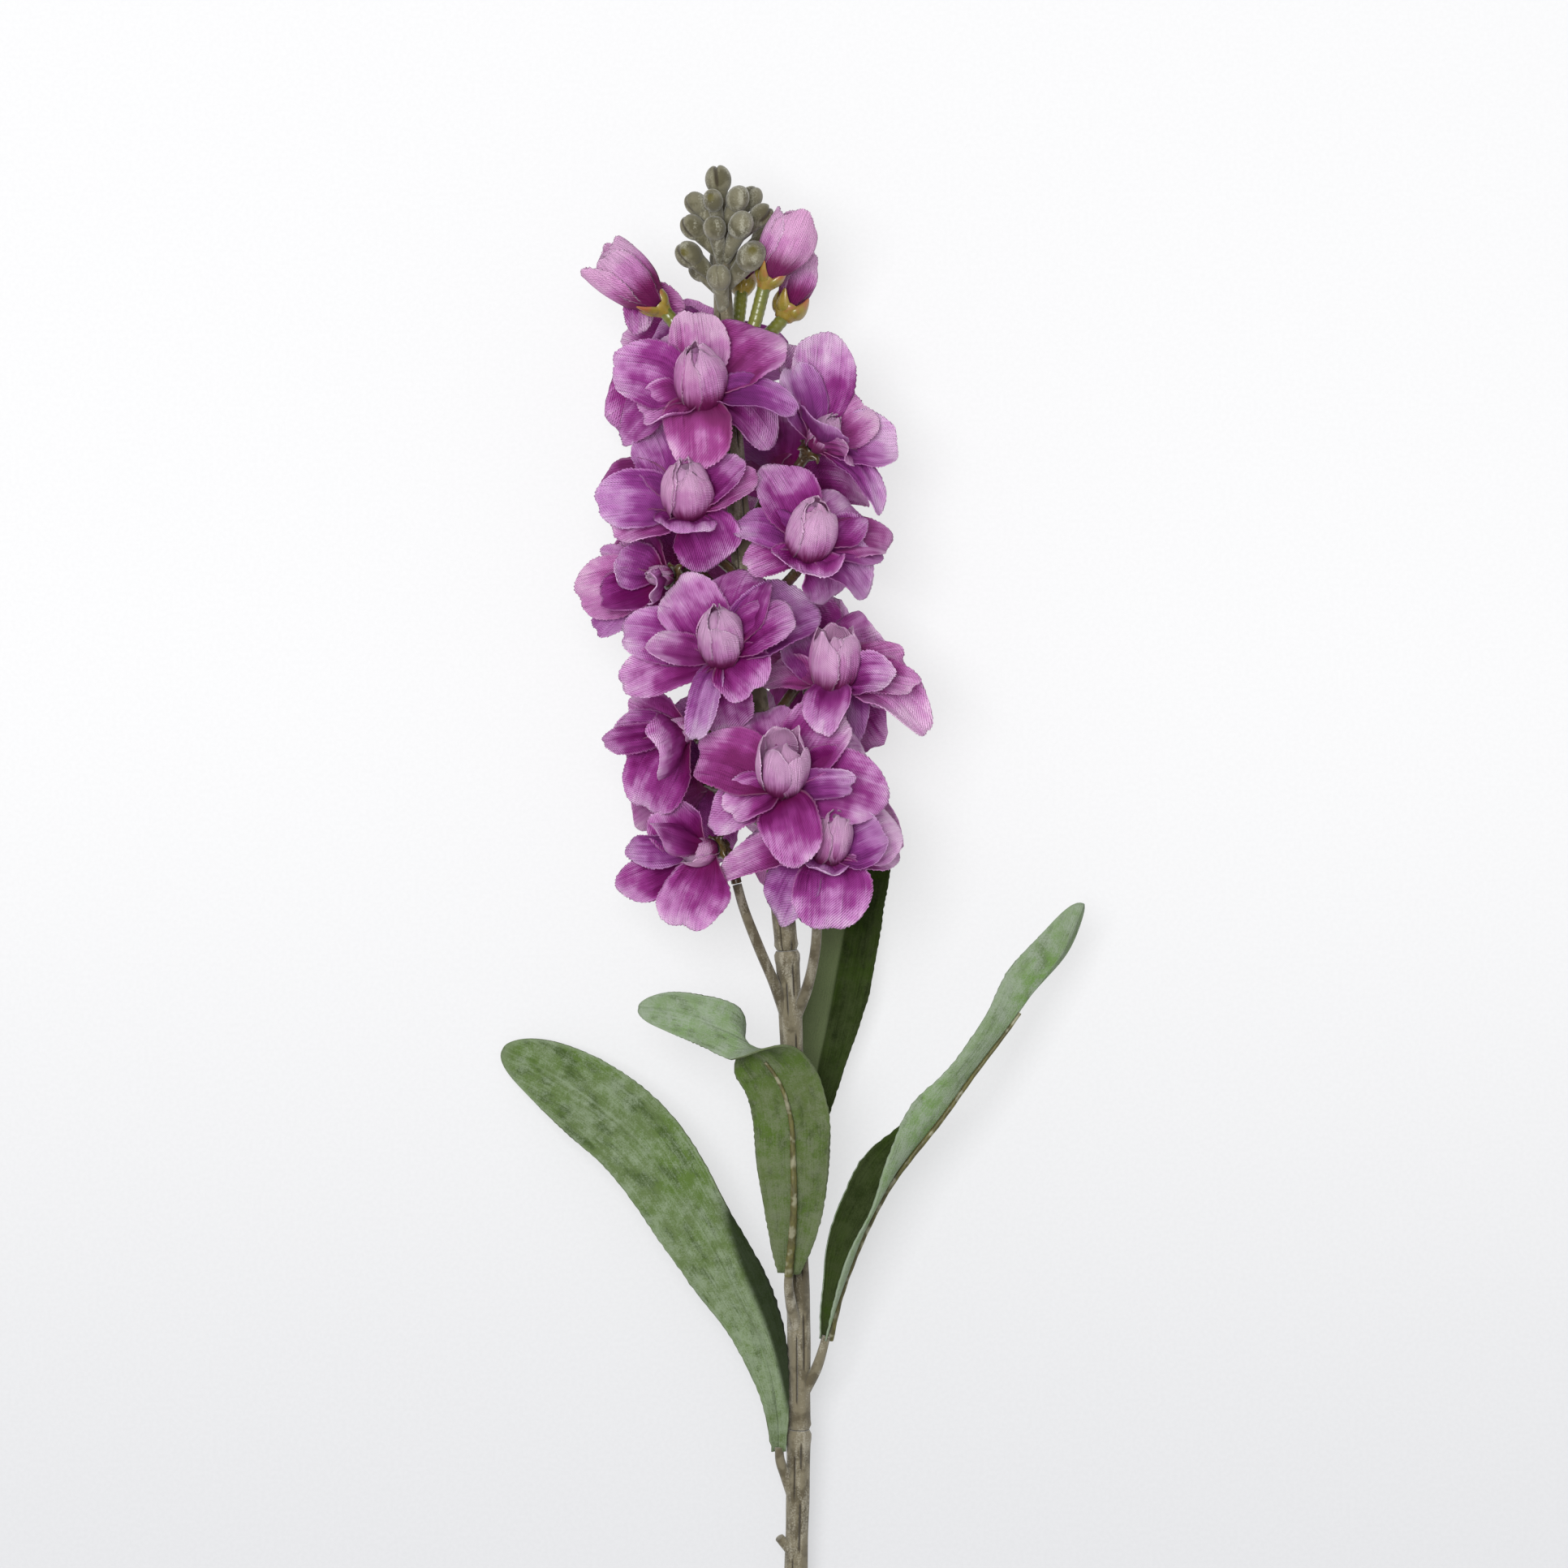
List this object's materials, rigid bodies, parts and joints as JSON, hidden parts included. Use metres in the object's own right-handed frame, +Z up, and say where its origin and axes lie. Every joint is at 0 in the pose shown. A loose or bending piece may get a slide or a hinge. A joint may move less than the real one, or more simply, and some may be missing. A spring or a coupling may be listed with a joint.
{
  "type": "artificial stock flower stem",
  "caption": "Cut stem of stock, lying down: a dense spike of ruffled double blooms, closed buds at the tip, a jointed stem and long leaves.",
  "frame": {"origin": "middle of the bounding box, on the surface that the stem lies on", "axes": "+Y along the stem towards the tip of the spike, +Z up from the surface, +X to the right of the spike seen from above"},
  "size_m": [0.162, 0.4754, 0.076],
  "materials": {
    "stem": "flocked",
    "calyx": "glossy",
    "petals": "printed weave",
    "leaf": "flocked",
    "rib": "satin"
  },
  "bodies": {
    "root": {"calyx_a": "calyx", "calyx_b": "calyx", "calyx_back_1": "calyx", "calyx_back_2": "calyx", "calyx_back_3": "calyx", "calyx_back_4": "calyx", "calyx_back_5": "calyx", "calyx_back_6": "calyx", "calyx_c": "calyx", "calyx_d": "calyx", "calyx_e": "calyx", "calyx_f": "calyx", "calyx_g": "calyx", "calyx_h": "calyx", "calyx_half_back": "calyx", "calyx_half_left": "calyx", "calyx_half_right": "calyx", "calyx_half_side": "calyx", "calyx_i": "calyx", "calyx_j": "calyx", "calyx_k": "calyx", "leaf_back": "leaf", "leaf_centre": "leaf", "leaf_left": "leaf", "leaf_right": "leaf", "petals_a": "petals", "petals_b": "petals", "petals_back_1": "petals", "petals_back_2": "petals", "petals_back_3": "petals", "petals_back_4": "petals", "petals_back_5": "petals", "petals_back_6": "petals", "petals_c": "petals", "petals_d": "petals", "petals_e": "petals", "petals_f": "petals", "petals_g": "petals", "petals_h": "petals", "petals_half_back": "petals", "petals_half_left": "petals", "petals_half_right": "petals", "petals_half_side": "petals", "petals_i": "petals", "petals_j": "petals", "petals_k": "petals", "rib_back": "rib", "rib_centre": "rib", "rib_left": "rib", "rib_right": "rib", "stem_lower": "stem", "stem_middle": "stem", "stem_upper": "stem"}
  },
  "joints": []
}
